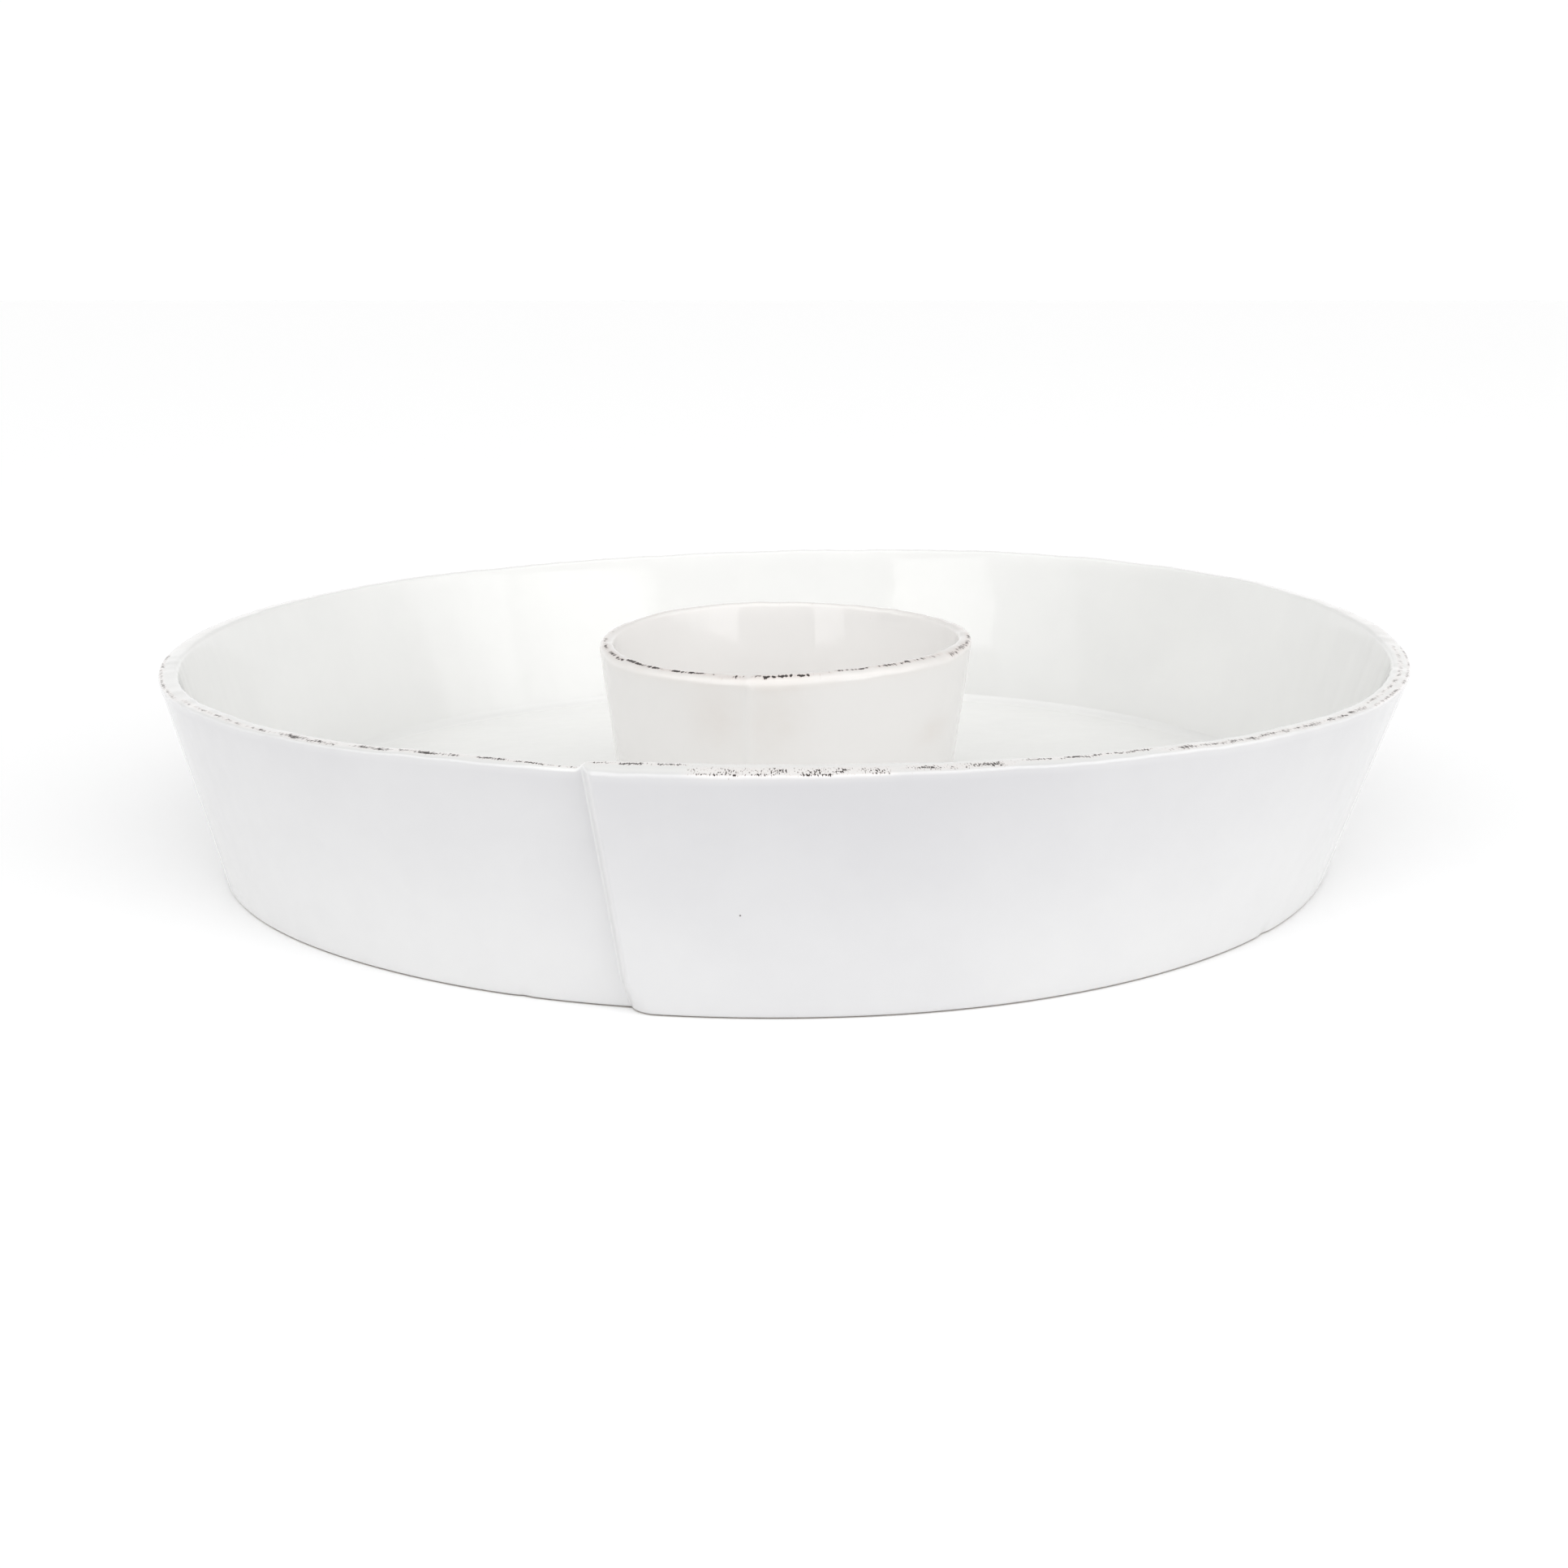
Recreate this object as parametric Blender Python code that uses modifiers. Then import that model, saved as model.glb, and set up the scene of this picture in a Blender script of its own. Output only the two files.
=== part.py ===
"""Chip and dip server: a round slab-built stoneware tray with a loose dip bowl standing in its middle.

The tray and the bowl are each made as a potter makes them. A long flat slab is rolled up into a flared
wall whose two ends lap over each other, and a round slab fills the foot of the wall as its floor.

Frame: origin on the table under the middle of the tray, +Z up. The front, where the tray's seam is,
faces -Y. Angles around the server are in degrees, from the front (-Y) and growing towards +X.
Lengths are in metres.
"""

import math

import bmesh
import bpy

OBJECT_NAME = "chip_and_dip_server"

GAP = 0.0003  # clearance between slabs that touch on the real object

# Tray wall: radii are of the outer face.
TRAY_RIM_RADIUS = 0.175
TRAY_FOOT_RADIUS = 0.1599
TRAY_HEIGHT = 0.0577
TRAY_WALL_THICKNESS = 0.0052
TRAY_RIM_JUMP = 0.0012  # the slab's outer end stands this much higher than its inner end
TRAY_FLOOR_THICKNESS = 0.0072

# Dip bowl: heights count from the bowl's own underside.
BOWL_RIM_RADIUS = 0.0545
BOWL_FOOT_RADIUS = 0.0475
BOWL_HEIGHT = 0.0496
BOWL_WALL_THICKNESS = 0.0048
BOWL_FLOOR_THICKNESS = 0.0055

# The lapped seam of a wall: the slab starts at the seam as the outer layer, runs once round, and ends
# under its start.
TRAY_SEAM_RIM_DEG = -14.9
TRAY_SEAM_FOOT_DEG = -13.3
TRAY_LAP_DEG = 7.0
TRAY_LAP_OUT = 0.0016  # how far the outer layer stands proud of the round wall
TRAY_LAP_IN = 0.0026  # how far the inner layer stands inside it
BOWL_SEAM_RIM_DEG = -10.6
BOWL_SEAM_FOOT_DEG = -12.1
BOWL_LAP_DEG = 10.0
BOWL_LAP_OUT = 0.0006
BOWL_LAP_IN = 0.0012
LAP_PLATEAU_DEG = 20.0  # the wall keeps its lap offset this far on each side of the seam
LAP_BLEND_DEG = 35.0  # and comes back to the round over this much more
LAP_SHAVE_DEG = 8.0  # the outer layer is thinner over the lap, and full again this far past it
LAP_END_THICKNESS = 0.0020  # the hidden inner end is shaved down to this

# Hand-formed waver, as (waves around, size in metres, angle of one crest in degrees).
TRAY_RIM_WAVER = ((2, 0.0011, -34.0), (3, 0.0004, 47.0), (4, 0.0008, 53.0))
TRAY_FOOT_WAVER = ((2, 0.0034, -31.0), (3, 0.0007, 10.0), (4, 0.0012, 38.0))
TRAY_RIM_RISE = ((1, 0.0015, 57.0), (2, 0.0010, -27.0), (3, 0.0007, 4.0))
BOWL_RIM_WAVER = ((2, 0.0009, -20.0), (3, 0.0006, -36.0))
BOWL_FOOT_WAVER = ()
BOWL_RIM_RISE = ((1, 0.0009, 146.0), (2, 0.0003, 35.0))

# Rounding of the slabs' edges and the mesh's fineness.
RIM_ROUNDING = 0.0022
FOOT_ROUNDING = 0.0012
FLOOR_EDGE_ROUNDING = 0.0006
ROUNDING_STEPS = 2
TRAY_COLUMNS = 100
BOWL_COLUMNS = 64
WALL_ROWS = 2

TRAY_GLAZE = (0.84, 0.84, 0.83, 1.0)
BOWL_GLAZE = (0.85, 0.82, 0.80, 1.0)
GLAZE_ROUGHNESS = 0.15


def clear_scene():
    for old in list(bpy.data.objects):
        bpy.data.objects.remove(old, do_unlink=True)


def make_collection(name):
    collection = bpy.data.collections.new(name)
    bpy.context.scene.collection.children.link(collection)
    return collection


def make_glaze(name, colour):
    glaze = bpy.data.materials.new(name)
    glaze.use_nodes = True
    shader = glaze.node_tree.nodes["Principled BSDF"]
    shader.inputs["Base Color"].default_value = colour
    shader.inputs["Roughness"].default_value = GLAZE_ROUGHNESS
    shader.inputs["Metallic"].default_value = 0.0
    return glaze


def smooth_step(value):
    value = min(max(value, 0.0), 1.0)
    return value * value * (3.0 - 2.0 * value)


def waver(angle, waves):
    return sum(size * math.cos(count * math.radians(angle - crest)) for count, size, crest in waves)


class RolledWall:
    """The shape of a rolled wall: where each point of its flat slab goes once the slab is rolled up."""

    def __init__(self, rim_radius, foot_radius, height, thickness):
        self.rim_radius = rim_radius
        self.foot_radius = foot_radius
        self.height = height
        self.thickness = thickness

    def set_seam(self, rim_angle, foot_angle, lap_angle, lap_out, lap_in):
        self.seam_rim = rim_angle
        self.seam_foot = foot_angle
        self.lap = lap_angle
        self.lap_out = lap_out
        self.lap_in = lap_in

    def set_waver(self, rim_waver, foot_waver, rim_rise, rim_jump):
        self.rim_waver = rim_waver
        self.foot_waver = foot_waver
        self.rim_rise = rim_rise
        self.rim_jump = rim_jump

    def seam_angle(self, up):
        return self.seam_foot + (self.seam_rim - self.seam_foot) * up

    def round_radius(self, angle, up):
        """Outer radius of the wall without its seam, at a fraction of its height."""
        foot = self.foot_radius + waver(angle, self.foot_waver)
        rim = self.rim_radius + waver(angle, self.rim_waver)
        return foot + (rim - foot) * up

    def face_offsets(self, along):
        """Offsets of the outer and the inner face from the round, at an angle along the slab.

        The angle counts from the slab's outer end.
        """
        outer_share = 1.0 - smooth_step((along - LAP_PLATEAU_DEG) / LAP_BLEND_DEG)
        inner_share = 1.0 - smooth_step((360.0 - along - LAP_PLATEAU_DEG) / LAP_BLEND_DEG)
        outer_face = self.lap_out * outer_share - self.lap_in * inner_share
        shaved_thickness = self.lap_out + self.lap_in - GAP
        fullness = smooth_step((along - self.lap) / LAP_SHAVE_DEG)
        thickness = shaved_thickness + (self.thickness - shaved_thickness) * fullness
        if along > 360.0:
            thickness += (LAP_END_THICKNESS - self.thickness) * smooth_step((along - 360.0) / self.lap)
        return outer_face, outer_face - thickness

    def place(self, along, across, up):
        """World place of a point of the slab.

        The point is given by its angle along the slab, its share of the way from the inner to the outer
        face, and its share of the way up the wall.
        """
        angle = self.seam_angle(up) + along
        outer_face, inner_face = self.face_offsets(along)
        radius = self.round_radius(angle, up) + inner_face + (outer_face - inner_face) * across
        jump = self.rim_jump * (0.5 - along / 360.0)
        height = up * (self.height + waver(angle, self.rim_rise) + jump)
        turn = math.radians(angle)
        return (radius * math.sin(turn), -radius * math.cos(turn), height)

    def inside_radius(self, angle, up):
        """Radius of the wall's innermost face, lapped end included, at an angle around the server."""
        along = (angle - self.seam_angle(up)) % 360.0
        faces = [self.face_offsets(along)[1]]
        if along < self.lap:
            faces.append(self.face_offsets(along + 360.0)[1])
        return self.round_radius(angle, up) + min(faces)


def make_flat_slab(name, length, thickness, height, columns):
    """A standing flat slab: X runs along it, Y from outer to inner face, and Z up, all from 0."""
    mesh = bpy.data.meshes.new(name)
    slab = bpy.data.objects.new(name, mesh)
    bm = bmesh.new()
    bmesh.ops.create_grid(bm, x_segments=columns, y_segments=WALL_ROWS, size=0.5)
    for vertex in bm.verts:
        x, y, _ = vertex.co
        vertex.co = ((x + 0.5) * length, 0.0, (y + 0.5) * height)
    bm.to_mesh(mesh)
    bm.free()
    solidify = slab.modifiers.new("Thickness", "SOLIDIFY")
    solidify.thickness = thickness
    solidify.offset = -1.0
    return slab


def round_slab_edges(slab, height):
    """Rounds the slab's rim, foot and end edges, each by its own bevel weight."""
    bpy.context.scene.collection.objects.link(slab)
    mesh = evaluated_mesh(slab)
    slab.modifiers.clear()
    bm = bmesh.new()
    bm.from_mesh(mesh)
    weights = bm.edges.layers.float.new("bevel_weight_edge")
    for edge in bm.edges:
        if edge.calc_face_angle(0.0) < math.radians(60.0):
            continue
        low_edge = all(vertex.co.z < 0.01 * height for vertex in edge.verts)
        edge[weights] = FOOT_ROUNDING / RIM_ROUNDING if low_edge else 1.0
    bmesh.ops.recalc_face_normals(bm, faces=bm.faces)
    bm.to_mesh(mesh)
    bm.free()
    slab.data = mesh
    bevel = slab.modifiers.new("Rounding", "BEVEL")
    bevel.limit_method = "WEIGHT"
    bevel.width = RIM_ROUNDING
    bevel.segments = ROUNDING_STEPS
    slab.data = evaluated_mesh(slab)
    slab.modifiers.clear()
    bpy.context.scene.collection.objects.unlink(slab)


def evaluated_mesh(thing):
    graph = bpy.context.evaluated_depsgraph_get()
    graph.update()
    return bpy.data.meshes.new_from_object(thing.evaluated_get(graph))


def roll_slab(slab, wall, length, thickness, height):
    for vertex in slab.data.vertices:
        along = vertex.co.x / length * (360.0 + wall.lap)
        across = 1.0 - vertex.co.y / thickness
        vertex.co = wall.place(along, across, vertex.co.z / height)


def finish_piece(piece, collection, glaze):
    piece.data.materials.clear()
    piece.data.materials.append(glaze)
    piece.data.shade_smooth()
    piece.data.set_sharp_from_angle(angle=math.radians(40.0))
    collection.objects.link(piece)


def make_wall(name, wall, columns, collection, glaze):
    length = math.pi * (wall.rim_radius + wall.foot_radius)
    slab = make_flat_slab(name, length, wall.thickness, wall.height, columns)
    round_slab_edges(slab, wall.height)
    roll_slab(slab, wall, length, wall.thickness, wall.height)
    finish_piece(slab, collection, glaze)
    return slab


def make_floor(name, wall, thickness, columns, collection, glaze):
    """A round slab that fills the foot of a wall, a gap clear of the wall's inner face."""
    mesh = bpy.data.meshes.new(name)
    floor = bpy.data.objects.new(name, mesh)
    bm = bmesh.new()
    bmesh.ops.create_cone(
        bm, cap_ends=True, segments=columns, radius1=1.0, radius2=1.0, depth=thickness
    )
    for vertex in bm.verts:
        height = vertex.co.z + thickness / 2.0
        angle = math.degrees(math.atan2(vertex.co.x, -vertex.co.y))
        radius = wall.inside_radius(angle, height / wall.height) - 1.5 * GAP
        turn = math.radians(angle)
        vertex.co = (radius * math.sin(turn), -radius * math.cos(turn), height)
    bm.to_mesh(mesh)
    bm.free()
    edge = floor.modifiers.new("Edge rounding", "BEVEL")
    edge.limit_method = "ANGLE"
    edge.angle_limit = math.radians(50.0)
    edge.width = FLOOR_EDGE_ROUNDING
    edge.segments = 1
    finish_piece(floor, collection, glaze)
    return floor


def tray_wall_shape():
    wall = RolledWall(TRAY_RIM_RADIUS, TRAY_FOOT_RADIUS, TRAY_HEIGHT, TRAY_WALL_THICKNESS)
    wall.set_seam(TRAY_SEAM_RIM_DEG, TRAY_SEAM_FOOT_DEG, TRAY_LAP_DEG, TRAY_LAP_OUT, TRAY_LAP_IN)
    wall.set_waver(TRAY_RIM_WAVER, TRAY_FOOT_WAVER, TRAY_RIM_RISE, TRAY_RIM_JUMP)
    return wall


def bowl_wall_shape():
    wall = RolledWall(BOWL_RIM_RADIUS, BOWL_FOOT_RADIUS, BOWL_HEIGHT, BOWL_WALL_THICKNESS)
    wall.set_seam(BOWL_SEAM_RIM_DEG, BOWL_SEAM_FOOT_DEG, BOWL_LAP_DEG, BOWL_LAP_OUT, BOWL_LAP_IN)
    wall.set_waver(BOWL_RIM_WAVER, BOWL_FOOT_WAVER, BOWL_RIM_RISE, 0.0)
    return wall


def make_bowl_lift(collection):
    """The empty that the bowl's pieces hang on: it stands on the tray's floor and lifts along its Z."""
    lift = bpy.data.objects.new("dip_bowl_lift", None)
    lift.location = (0.0, 0.0, TRAY_FLOOR_THICKNESS + GAP)
    collection.objects.link(lift)
    return lift


def build_server():
    clear_scene()
    collection = make_collection(OBJECT_NAME)
    tray_glaze = make_glaze("tray_glaze", TRAY_GLAZE)
    bowl_glaze = make_glaze("dip_bowl_glaze", BOWL_GLAZE)

    tray = tray_wall_shape()
    make_wall("tray_wall", tray, TRAY_COLUMNS, collection, tray_glaze)
    make_floor("tray_base", tray, TRAY_FLOOR_THICKNESS, TRAY_COLUMNS, collection, tray_glaze)

    bowl = bowl_wall_shape()
    lift = make_bowl_lift(collection)
    bowl_wall = make_wall("dip_bowl_wall", bowl, BOWL_COLUMNS, collection, bowl_glaze)
    bowl_base = make_floor(
        "dip_bowl_base", bowl, BOWL_FLOOR_THICKNESS, BOWL_COLUMNS, collection, bowl_glaze
    )
    for piece in (bowl_wall, bowl_base):
        piece.parent = lift


build_server()
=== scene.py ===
"""Looks of the chip and dip server: white glazed stoneware, built of slabs.

Each CAD slab is replaced by a fine mesh of the same slab after firing. The lap of each wall is
melted shut by the glaze, the floors curl up into the walls, the rims have dark flecks where the
glaze has broken, and the surfaces keep the slight unevenness of hand work.

Angles around the server are in degrees, from the front (-Y) and growing towards +X. Lengths are
in metres. `along` is an angle along a wall's slab, counted from its seam.
"""

import math

import bpy
import numpy as np
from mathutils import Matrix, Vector, noise


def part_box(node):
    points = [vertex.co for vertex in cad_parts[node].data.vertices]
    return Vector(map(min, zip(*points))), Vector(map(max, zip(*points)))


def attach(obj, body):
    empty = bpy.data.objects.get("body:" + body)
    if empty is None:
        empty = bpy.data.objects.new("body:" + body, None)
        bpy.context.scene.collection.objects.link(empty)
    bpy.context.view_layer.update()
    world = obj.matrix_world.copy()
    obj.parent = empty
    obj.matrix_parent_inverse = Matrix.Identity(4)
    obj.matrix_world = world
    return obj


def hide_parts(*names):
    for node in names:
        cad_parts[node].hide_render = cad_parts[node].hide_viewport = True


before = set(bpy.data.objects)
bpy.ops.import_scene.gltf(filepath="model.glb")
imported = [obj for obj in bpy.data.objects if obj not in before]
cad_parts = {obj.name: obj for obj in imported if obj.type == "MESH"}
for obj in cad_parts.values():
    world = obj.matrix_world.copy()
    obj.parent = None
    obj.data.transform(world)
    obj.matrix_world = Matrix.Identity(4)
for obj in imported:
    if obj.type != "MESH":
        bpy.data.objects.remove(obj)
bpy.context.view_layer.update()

MM = 0.001

# Heights that the frame states.
TRAY_FLOOR_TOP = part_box("tray_base")[1].z
BOWL_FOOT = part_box("dip_bowl_wall")[0].z
BOWL_FLOOR_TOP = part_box("dip_bowl_base")[1].z

# Hand-formed waver, as (waves around, size, angle of one crest in degrees).
TRAY_RIM_WAVER = ((2, 1.1 * MM, -34.0), (3, 0.4 * MM, 47.0), (4, 0.8 * MM, 53.0))
TRAY_FOOT_WAVER = ((2, 3.4 * MM, -31.0), (3, 0.7 * MM, 10.0), (4, 1.2 * MM, 38.0))
TRAY_RIM_RISE = ((1, 1.5 * MM, 57.0), (2, 1.0 * MM, -27.0), (3, 0.7 * MM, 4.0))
BOWL_RIM_WAVER = ((1, 0.4 * MM, -90.0), (2, 0.9 * MM, -20.0), (3, 0.6 * MM, -36.0))
BOWL_RIM_RISE = ((1, 0.9 * MM, 146.0), (2, 0.3 * MM, 35.0))
TRAY_RIM_HILLS = ((-27.0, 9.0, 0.5 * MM),)  # angle and width in degrees, and rise

# How the seam shapes the wall on both sides of it, in degrees from the seam.
LAP_PLATEAU_DEG, LAP_BLEND_DEG = 20.0, 35.0  # the lap's offset stays this far, then fades
LAP_END_STARTS_DEG, LAP_END_BLEND_DEG = 1.0, 7.0  # the inner end comes inwards over this stretch
LAP_RIDGE_RISE_DEG, LAP_RIDGE_CREST_DEG, LAP_RIDGE_FALL_DEG = 3.0, 5.0, 15.0  # thick over the lap
SEAM_CREST_DEG = 25.0  # half width of the blunt corner of a seam without a step
SEAM_RIDGE_WIDTH = 1.2 * MM  # half width of its upright ridge
SEAM_DROP_STARTS_DEG, SEAM_DROP_BLEND_DEG = 14.0, 16.0  # where the rim's extra slope ends
ROUNDING_SPREAD_DEG = 26.0  # the rim's rounding beside the seam fades out over this

# The bevel of the tray's seam.
BEVEL_START = 0.12  # the smaller, the steeper the step starts at its crease
BEVEL_POWER, BEVEL_POWER_AT_FOOT = 1.25, 0.35
SEAM_FOOT_HEIGHT = 6.0 * MM  # the bevel is rounder below this
RIM_STEP_BEFORE, RIM_STEP_SPAN = 0.5, 0.8  # of the rim's own step, in runs of the bevel

BACK_STARTS_DEG, BACK_BLEND_DEG = 55.0, 50.0  # from the front, where the back sets in
RIM_CROWN = 0.02  # height of the rim's slight crown, for each metre of its width
RIM_GRAIN = ((6.0 * MM, 1.0), (19.0 * MM, 1.3))  # size of the unevenness along the rim, and weight
HAND_BROAD, HAND_BROAD_SIZE = 0.22 * MM, 42.0 * MM  # unevenness of the surfaces
HAND_FINE, HAND_FINE_SIZE = 0.05 * MM, 11.0 * MM
HAND_STARTS, HAND_BLEND = 0.5 * MM, 4.0 * MM  # heights between which it sets in

# Edges of the floor slabs.
TRAY_FLOOR_CURL, BOWL_FLOOR_CURL = 4.0 * MM, 5.0 * MM  # radius of the curl up into the wall
CURL_OVERLAP = 0.25 * MM  # how far the top of the curl reaches into the wall
FLOOR_EDGE, FLOOR_EDGE_CLEAR = 0.6 * MM, 0.1 * MM  # rounding at the underside, and gap above it
FLOOR_HIDDEN, FLOOR_HIDDEN_FROM = 1.5 * MM, 2.0 * MM  # reach into the wall, and from what height

# Where the glaze has broken along the rims, as (from, to, place across the rim, spread,
# strength): angles in degrees, and the place runs from 0 at the inner edge to 1 at the outer edge.
TRAY_WORN_ARCS = (
    (-84.0, -62.0, 0.70, 0.16, 0.90),
    (-62.0, -44.0, 0.45, 0.20, 0.92),
    (-44.0, -36.0, 0.40, 0.35, 0.92),
    (-36.0, -24.5, 0.27, 0.30, 1.00),
    (-24.5, -14.6, 0.20, 0.24, 1.00),
    (-14.6, -6.8, 0.12, 0.15, 1.06),
    (-7.0, 8.0, 0.52, 0.42, 0.78),
    (-7.0, 8.0, 0.80, 0.14, 0.84),
    (8.0, 17.0, 0.48, 0.36, 0.86),
    (17.0, 29.0, 0.20, 0.22, 0.93),
    (29.0, 56.0, 0.48, 0.30, 0.89),
    (56.0, 84.0, 0.28, 0.18, 0.84),
    (56.0, 84.0, 0.75, 0.18, 0.79),
    (84.0, 276.0, 1.00, 0.20, 0.72),
    (84.0, 276.0, 0.50, 0.80, 0.40),
)
BOWL_WORN_ARCS = (
    (-92.0, -58.0, 0.30, 0.22, 0.95),
    (-58.0, -20.0, 0.12, 0.20, 1.15),
    (-20.0, -11.0, 0.35, 0.30, 0.80),
    (-10.0, 8.0, 0.25, 0.20, 1.10),
    (8.0, 15.0, 0.20, 0.20, 0.70),
    (15.0, 28.0, 0.05, 0.16, 1.10),
    (28.0, 60.0, 0.15, 0.22, 0.90),
    (60.0, 95.0, 0.50, 0.30, 0.90),
    (95.0, 268.0, 0.95, 0.25, 0.75),
    (95.0, 268.0, 0.50, 0.80, 0.50),
)

EVEN_WEAR, EVEN_WEAR_PLACE, EVEN_WEAR_SPREAD = 0.15, 0.5, 0.6  # faint wear all along the rims

# Brownish blush under the bowl's glaze, as (angle, share of the height, half width in degrees,
# half height, strength).
BOWL_BLUSH = (
    (-20.0, 0.76, 9.0, 0.22, 0.62),
    (-2.5, 0.78, 10.0, 0.24, 0.66),
    (54.0, 0.57, 8.0, 0.07, 0.80),
)
RIM_BLUSH_PLACE, RIM_BLUSH_SPREAD = 0.4, 0.8
BLUSH_UNDER_SEAM = 1.4  # blush hidden for each share of painted light on the seam

PINHOLE_ANGLE, PINHOLE_UP, PINHOLE_RADIUS = -3.4, 0.45, 0.32 * MM
FOOT_NICKS = ((-22.3, 0.5), (49.5, 0.9))  # angle and half width in degrees
FOOT_NICK_DEPTH, FOOT_NICK_SHARE = 0.5 * MM, 0.03  # depth, and share of the height

# Shares that the materials read at each point of a piece. The last one is the share of the
# deep glaze tone, which paints light and shade into the glaze.
SHADES = ("worn", "blush", "bare", "painted_light_share")

# Painted light and shade on the outer face, as shares of the deep glaze tone.
FOOT_PAINTED_LIGHT = 0.38
SIDE_PAINTED_LIGHT = 0.20
FRONT_PAINTED_LIGHT_ANGLE, FRONT_PAINTED_LIGHT_WIDTH = 4.0, 20.0
OUTER_PAINTED_LIGHT_STARTS, OUTER_PAINTED_LIGHT_BLEND = 0.6, 0.5  # places on the rim between which the outer face's painted tone sets in
SEAM_PAINTED_LIGHT = 0.5  # extra share of the deep tone on the seam, as painted light
# The step's face and the crease beside it get more deep tone: painted light on the step, and
# against the shade in the crease.
CREASE_PAINTED_LIGHT, CREASE_LIGHT_WIDTH = 0.4, 2.0 * MM
STEP_LIGHT_STARTS, STEP_LIGHT_BLEND = 0.8, 0.35  # in runs of the bevel

# Bare clay below these heights.
WALL_BARE_HEIGHT = 0.15 * MM
FLOOR_BARE_HEIGHT = 0.5 * MM

# Colours. The thin and deep tones of each glaze are painted light and shade: on the tray the
# deep tone of the inside and the rims is lighter, and the thin tone of the outer face darker.
TRAY_THIN_GLAZE_PAINTED_SHADE, TRAY_DEEP_GLAZE_PAINTED_LIGHT = (0.595, 0.593, 0.608), (0.835, 0.836, 0.822)
# The tray's worn tint is pinkish and lighter than its glaze: painted light on the rim's top.
TRAY_WORN_GLAZE_AND_PAINTED_LIGHT = (0.93, 0.89, 0.87)
BOWL_THIN_GLAZE_PAINTED_LIGHT, BOWL_DEEP_GLAZE_PAINTED_LIGHT = (0.876, 0.862, 0.850), (0.828, 0.815, 0.800)
BOWL_WORN_GLAZE = (0.74, 0.68, 0.65)
BLUSH_COLOUR = (0.72, 0.65, 0.59)
HALO_COLOUR = (0.50, 0.40, 0.36)
FLECK_COLOUR = (0.030, 0.022, 0.019)
PINHOLE_COLOUR = (0.045, 0.033, 0.028)
DARK_CLAY, PALE_CLAY = (0.36, 0.30, 0.235), (0.50, 0.43, 0.345)

# Grain of the materials: sizes, heights and strengths.
MOTTLE_SIZE, MOTTLE_DEPTH = 26.0 * MM, 0.07  # strength, as a share of the deep tone's share
BLUSH_GRAIN_SIZE, BLUSH_STRENGTH = 9.0 * MM, 0.40
TRAY_FLECK_SIZE, BOWL_FLECK_SIZE = 0.36 * MM, 0.8 * MM
FLECK_STRETCH = 0.30  # the smaller, the longer the flecks are across the rim
CLUSTER_SIZE = 4.5 * MM
WEAR_WEIGHT = 0.44  # the larger, the more flecks come from the same wear
FLECK_LEVELS, HALO_LEVELS = (0.885, 0.925), (0.74, 0.91)  # of noise and wear added up
HALO_STRENGTH, WORN_TINT_AND_LIGHT = 0.30, 0.55
CLAY_GRAIN_SIZE = 0.9 * MM
GLOSS_SIZE, GLAZE_ROUGHNESS = 14.0 * MM, (0.06, 0.10)
FLECK_ROUGHNESS, CLAY_ROUGHNESS = 0.30, 0.72  # on top of the glaze's
GLAZE_IOR = 1.6
PEEL_SIZE, PEEL_HEIGHT = 1.7 * MM, 0.006 * MM
RIPPLE_SIZE, RIPPLE_HEIGHT = 7.0 * MM, 0.05 * MM
PIT_DEPTH, GRIT_HEIGHT = 0.06 * MM, 0.12 * MM

# The camera.
CAMERA_LENS = 51.99
CAMERA_PLACE = (-0.0004, -0.6423, 0.1759)
CAMERA_DOWN_DEG = 14.22

# Brightness of the studio around the server, by direction.
WORLD_LOW_FRONT, WORLD_LOW_BACK = 0.38, 1.03
WORLD_HIGH_FRONT, WORLD_HIGH_BACK = 1.48, 0.36
WORLD_LOW_Z, WORLD_HIGH_Z = 0.05, 0.5  # the low band is below the first, the high one past both
WORLD_FRONT_Y, WORLD_BACK_Y = -0.2, 0.5
BACKDROP_BRIGHTNESS = 1.02

# Softboxes, as (name, azimuth, elevation, distance, width, height, radiance): angles in degrees.
SOFTBOX_LEFT = ("softbox_left", -34.5, 13.0, 1.6, 0.62, 0.75, 1.27)
SOFTBOX_RIGHT = ("softbox_right", 52.5, 13.0, 1.6, 1.00, 0.75, 1.42)
SOFTBOX_LEFT_WING = ("softbox_left_wing", -58.0, 15.0, 1.7, 0.70, 0.80, 0.35)
SOFTBOX_RIGHT_WING = ("softbox_right_wing", 80.0, 15.0, 1.7, 0.70, 0.80, 0.60)
RIGHT_FADE = (-0.36, -0.18, 0.0, 0.18, 0.36)  # shifts of the right one's far side, to fade it out

STUDIO_FLOOR_SIZE, STUDIO_FLOOR_DROP = 8.0, 0.2 * MM

# Fineness of the meshes.
TRAY_COLUMN_DEG = 0.5
BOWL_COLUMN_DEG = 1.0
TRAY_FLOOR_COLUMNS = 360
BOWL_FLOOR_COLUMNS = 180
COLUMNS_PAST_SEAM_MM = (
    0.0, 0.08, 0.18, 0.3, 0.45, 0.62, 0.8, 1.0, 1.25, 1.5, 1.75, 2.0, 2.3, 2.7, 3.2, 3.8, 4.5, 5.3,
    6.2,
)
COLUMNS_BEFORE_SEAM_MM = (2.4, 1.9, 1.5, 1.1, 0.8, 0.5, 0.3, 0.15)
FLOOR_RINGS = (0.15, 0.3, 0.45, 0.6, 0.72, 0.84, 0.92, 0.97)
CURL_STEPS = 9
QUARTER_STEPS = 5
OUTER_ROWS = 20
INNER_ROWS = 18
RIM_STEPS = 8


def smooth_step(value):
    value = min(max(value, 0.0), 1.0)
    return value * value * (3.0 - 2.0 * value)


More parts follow.
